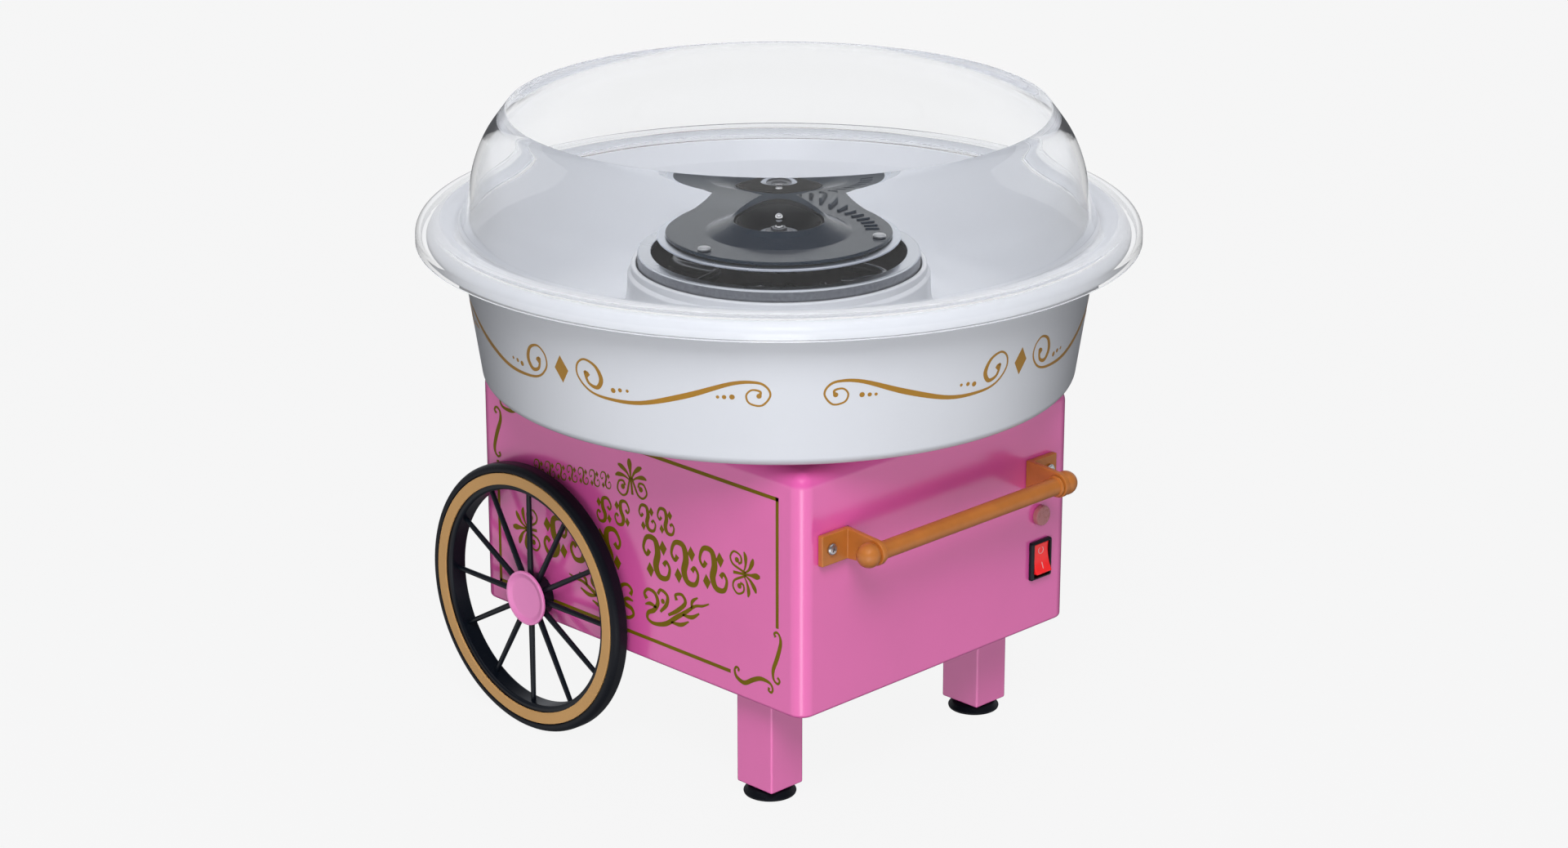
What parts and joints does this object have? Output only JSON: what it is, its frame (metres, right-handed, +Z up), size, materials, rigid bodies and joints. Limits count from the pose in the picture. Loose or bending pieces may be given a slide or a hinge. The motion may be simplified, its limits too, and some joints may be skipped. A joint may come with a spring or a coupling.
{
  "type": "cotton candy machine",
  "caption": "Cart-shaped counter-top cotton candy machine: white bowl with a clear rim guard over a spinning heated head, on a pink box with spoked wheels, legs and a bar handle.",
  "frame": {"origin": "on the floor, straight under the axis of the bowl and the spinning head", "axes": "+Z up along the bowl's axis; the handle, switch and legs face -Y, and the wheels' axle runs along X"},
  "size_m": [0.292, 0.292, 0.2619],
  "materials": {
    "pink_shell": "moulded pink plastic, satin gloss",
    "white_bowl": "moulded white plastic, glossy, printed gold scrolls",
    "clear": "clear moulded plastic, polished",
    "black_plastic": "moulded black plastic, satin",
    "rubber": "black rubber, matt",
    "tan_band": "tan painted ring, satin",
    "caramel": "wood-coloured moulded plastic, satin",
    "red_rocker": "red plastic, glossy",
    "lens": "smoky pink lens, unlit",
    "steel": "plated steel",
    "drum_metal": "spun aluminium, grained, darkened inside the well",
    "head_metal": "spun aluminium, satin",
    "slate": "dark grey-blue coated metal, satin",
    "element": "heat-darkened tube",
    "ceramic": "unglazed ceramic",
    "bronze": "sintered bronze",
    "copper": "varnished copper windings on a laminated core",
    "board": "green circuit board"
  },
  "bodies": {
    "cart": {"cart_shell": "pink_shell", "base_plate": "black_plastic", "base_screw_1": "steel", "base_screw_2": "steel", "base_screw_3": "steel", "base_screw_4": "steel", "leg_left": "pink_shell", "leg_right": "pink_shell", "foot_left": "rubber", "foot_right": "rubber", "axle": "steel", "handle_bar": "caramel", "handle_bracket_left": "caramel", "handle_bracket_right": "caramel", "handle_knob_left": "caramel", "handle_knob_right": "caramel", "handle_screw_left": "steel", "handle_screw_right": "steel", "switch_bezel": "black_plastic", "indicator_lens": "lens", "cord_gland": "black_plastic", "motor_can": "steel", "motor_cap": "steel", "motor_bush_lower": "bronze", "motor_bush_upper": "bronze", "motor_bracket": "steel", "motor_screw_1": "steel", "motor_screw_2": "steel", "motor_screw_3": "steel", "bowl_seat": "pink_shell", "heater_drum": "drum_metal", "heating_element": "element", "element_insulator_1": "ceramic", "element_insulator_2": "ceramic", "element_insulator_3": "ceramic", "thermal_cutout": "black_plastic", "circuit_board": "board", "lead_inlet": "black_plastic"},
    "spinner": {"spindle": "steel", "drive_pin": "steel", "motor_rotor": "copper"},
    "head": {"head_plate": "head_metal", "head_cover": "slate", "head_screen": "steel", "head_collar": "steel", "head_screw_1": "steel", "head_screw_2": "steel", "head_screw_3": "steel"},
    "bowl": {"bowl": "white_bowl"},
    "dome": {"clear_dome": "clear"},
    "wheel_left": {"wheel_left": "black_plastic", "tyre_left": "rubber", "band_left": "tan_band", "hub_cap_left": "pink_shell"},
    "wheel_right": {"wheel_right": "black_plastic", "tyre_right": "rubber", "band_right": "tan_band", "hub_cap_right": "pink_shell"},
    "rocker": {"switch_rocker": "red_rocker"}
  },
  "joints": [
    {"name": "head_spin", "type": "hinge", "parent": "cart", "child": "spinner", "pos_m": [0, 0, 0.15], "axis": [0, 0, 1], "continuous": true},
    {"name": "head_lift", "type": "slide", "parent": "spinner", "child": "head", "axis": [0, 0, 1], "range_m": [0, 0.03]},
    {"name": "bowl_lift", "type": "slide", "parent": "cart", "child": "bowl", "axis": [0, 0, 1], "range_m": [0, 0.075]},
    {"name": "dome_lift", "type": "slide", "parent": "bowl", "child": "dome", "axis": [0, 0, 1], "range_m": [0, 0.04]},
    {"name": "wheel_left_spin", "type": "hinge", "parent": "cart", "child": "wheel_left", "pos_m": [-0.0816, 0.0614, 0.0573], "axis": [1, 0, 0], "continuous": true},
    {"name": "wheel_right_spin", "type": "hinge", "parent": "cart", "child": "wheel_right", "pos_m": [0.0816, 0.0614, 0.0573], "axis": [1, 0, 0], "continuous": true},
    {"name": "switch_rock", "type": "hinge", "parent": "cart", "child": "rocker", "pos_m": [0.0598, -0.0886, 0.0766], "axis": [1, 0, 0], "range_deg": [0, 20]}
  ]
}
